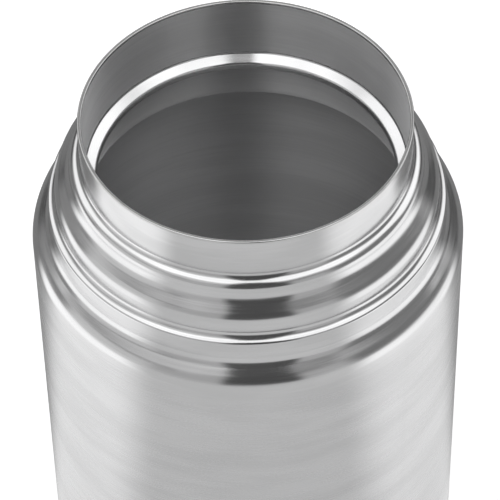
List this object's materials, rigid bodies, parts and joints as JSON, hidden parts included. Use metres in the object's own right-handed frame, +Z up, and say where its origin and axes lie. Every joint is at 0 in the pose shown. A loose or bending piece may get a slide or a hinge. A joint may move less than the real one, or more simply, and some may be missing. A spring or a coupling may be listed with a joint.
{
  "type": "insulated food jar",
  "caption": "Open vacuum-insulated steel food jar with a stepped neck for an overcap, a rolled stopper seat in its wide mouth, a double wall, a pressed base and a foot pad.",
  "frame": {"origin": "middle of the footprint, on the surface the jar stands on", "axes": "+Z up along the jar's axis, -Y towards the viewer of the reference picture"},
  "size_m": [0.108, 0.108, 0.19],
  "materials": {
    "brushed_steel": "satin",
    "liner_steel": "satin",
    "weld_steel": "satin",
    "copper_foil": "polished",
    "getter_alloy": "matte",
    "seal_glass": "gloss",
    "foam_tape": "matte",
    "pad_silicone": "matte"
  },
  "bodies": {
    "root": {"outer_shell": "brushed_steel", "outer_base": "brushed_steel", "liner_wall": "liner_steel", "liner_base": "liner_steel", "rim_weld": "weld_steel", "outer_base_weld": "weld_steel", "liner_base_weld": "weld_steel", "foil_wrap": "copper_foil", "foil_disc": "copper_foil", "getter": "getter_alloy", "getter_cup": "weld_steel", "getter_clip": "weld_steel", "seal_plug": "seal_glass", "cover_tape": "foam_tape", "base_cover": "brushed_steel", "foot_pad": "pad_silicone"}
  },
  "joints": []
}
